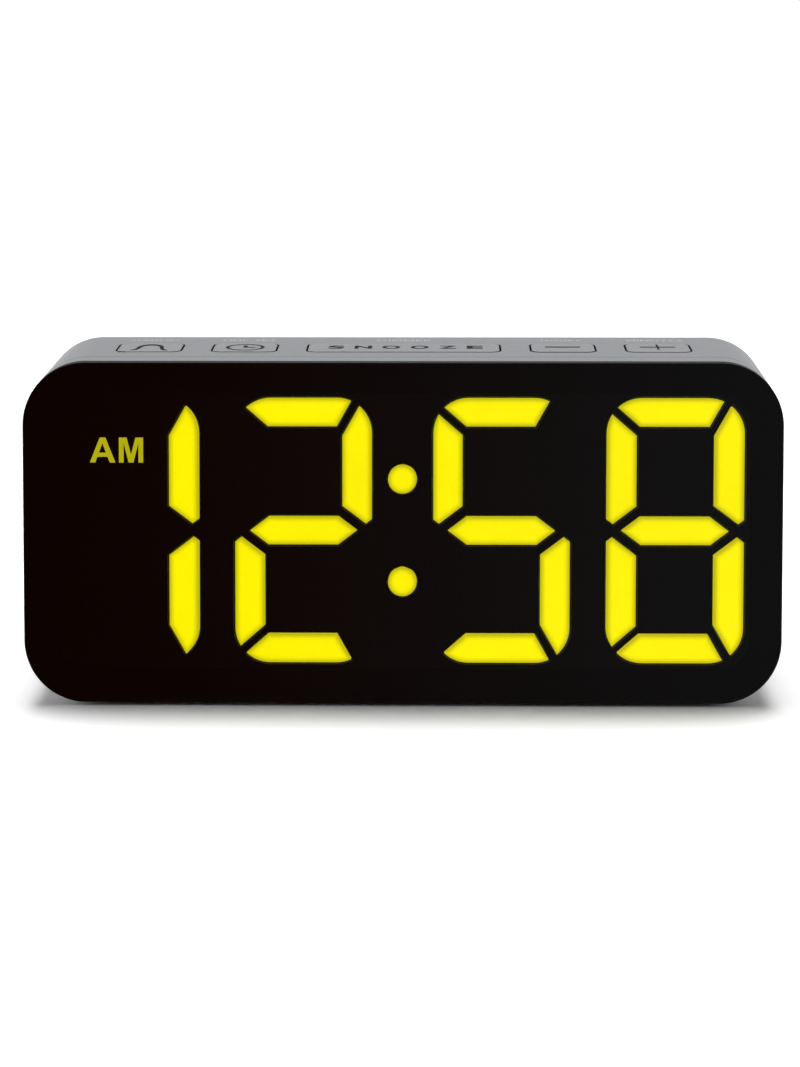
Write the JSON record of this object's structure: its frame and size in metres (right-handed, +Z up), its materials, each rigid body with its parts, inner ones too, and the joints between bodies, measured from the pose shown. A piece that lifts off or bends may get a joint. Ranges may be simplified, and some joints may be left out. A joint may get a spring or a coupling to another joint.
{
  "type": "alarm clock",
  "caption": "Digital alarm clock: leaning dark lens over seven-segment digits, silver rounded case, keys on top, rear speaker slots, inlet and cell door.",
  "frame": {"origin": "middle of the bounding box's bottom face, on the plane the feet stand on", "axes": "+Z up; the display faces -Y; +X is the clock's right side as its display is read"},
  "size_m": [0.165, 0.049, 0.0739],
  "materials": {
    "lens": "polished smoked acrylic",
    "silver": "satin silver-grey moulded plastic, fine grain",
    "keys": "satin silver-grey moulded plastic",
    "display_black": "matte black",
    "segment_lit": "diffuser, lit yellow",
    "segment_dark": "diffuser, unlit",
    "board": "green solder mask",
    "cable": "flat cable",
    "switch": "moulded black",
    "speaker": "moulded black",
    "inlet": "moulded black",
    "steel": "nickel plated",
    "rubber": "matte black rubber"
  },
  "bodies": {
    "case": {"front_lens": "lens", "front_frame": "silver", "rear_housing": "silver", "display_housing": "display_black", "hour_tens_segment_b": "segment_lit", "hour_tens_segment_c": "segment_lit", "hour_units_segment_a": "segment_lit", "hour_units_segment_b": "segment_lit", "hour_units_segment_c": "segment_dark", "hour_units_segment_d": "segment_lit", "hour_units_segment_e": "segment_lit", "hour_units_segment_f": "segment_dark", "hour_units_segment_g": "segment_lit", "minute_tens_segment_a": "segment_lit", "minute_tens_segment_b": "segment_dark", "minute_tens_segment_c": "segment_lit", "minute_tens_segment_d": "segment_lit", "minute_tens_segment_e": "segment_dark", "minute_tens_segment_f": "segment_lit", "minute_tens_segment_g": "segment_lit", "minute_units_segment_a": "segment_lit", "minute_units_segment_b": "segment_lit", "minute_units_segment_c": "segment_lit", "minute_units_segment_d": "segment_lit", "minute_units_segment_e": "segment_lit", "minute_units_segment_f": "segment_lit", "minute_units_segment_g": "segment_lit", "colon_dot_upper": "segment_lit", "colon_dot_lower": "segment_lit", "am_indicator": "segment_lit", "pm_indicator": "segment_dark", "main_board": "board", "key_board": "board", "key_cable": "cable", "alarm_switch": "switch", "time_switch": "switch", "snooze_switch": "switch", "minus_switch": "switch", "plus_switch": "switch", "speaker": "speaker", "dc_inlet": "inlet", "backup_cell": "steel", "cell_contact": "steel", "cell_clip": "steel", "case_screw_upper_left": "steel", "case_screw_upper_right": "steel", "case_screw_lower_left": "steel", "case_screw_lower_right": "steel", "foot_front_left": "rubber", "foot_front_right": "rubber", "foot_rear_left": "rubber", "foot_rear_right": "rubber"},
    "alarm_key": {"alarm_key": "keys"},
    "time_key": {"time_key": "keys"},
    "snooze_key": {"snooze_key": "keys"},
    "minus_key": {"minus_key": "keys"},
    "plus_key": {"plus_key": "keys"},
    "battery_door": {"battery_door": "silver"}
  },
  "joints": [
    {"name": "alarm_key_press", "type": "slide", "parent": "case", "child": "alarm_key", "axis": [0, 0, -1], "range_m": [0, 0.0007], "stiffness_N_per_m": 350},
    {"name": "time_key_press", "type": "slide", "parent": "case", "child": "time_key", "axis": [0, 0, -1], "range_m": [0, 0.0007], "stiffness_N_per_m": 350},
    {"name": "snooze_key_press", "type": "slide", "parent": "case", "child": "snooze_key", "axis": [0, 0, -1], "range_m": [0, 0.0007], "stiffness_N_per_m": 350},
    {"name": "minus_key_press", "type": "slide", "parent": "case", "child": "minus_key", "axis": [0, 0, -1], "range_m": [0, 0.0007], "stiffness_N_per_m": 350},
    {"name": "plus_key_press", "type": "slide", "parent": "case", "child": "plus_key", "axis": [0, 0, -1], "range_m": [0, 0.0007], "stiffness_N_per_m": 350},
    {"name": "battery_door_hinge", "type": "hinge", "parent": "case", "child": "battery_door", "pos_m": [0, 0.02289, 0.0149], "axis": [-1, 0, 0], "range_deg": [0, 80]}
  ]
}
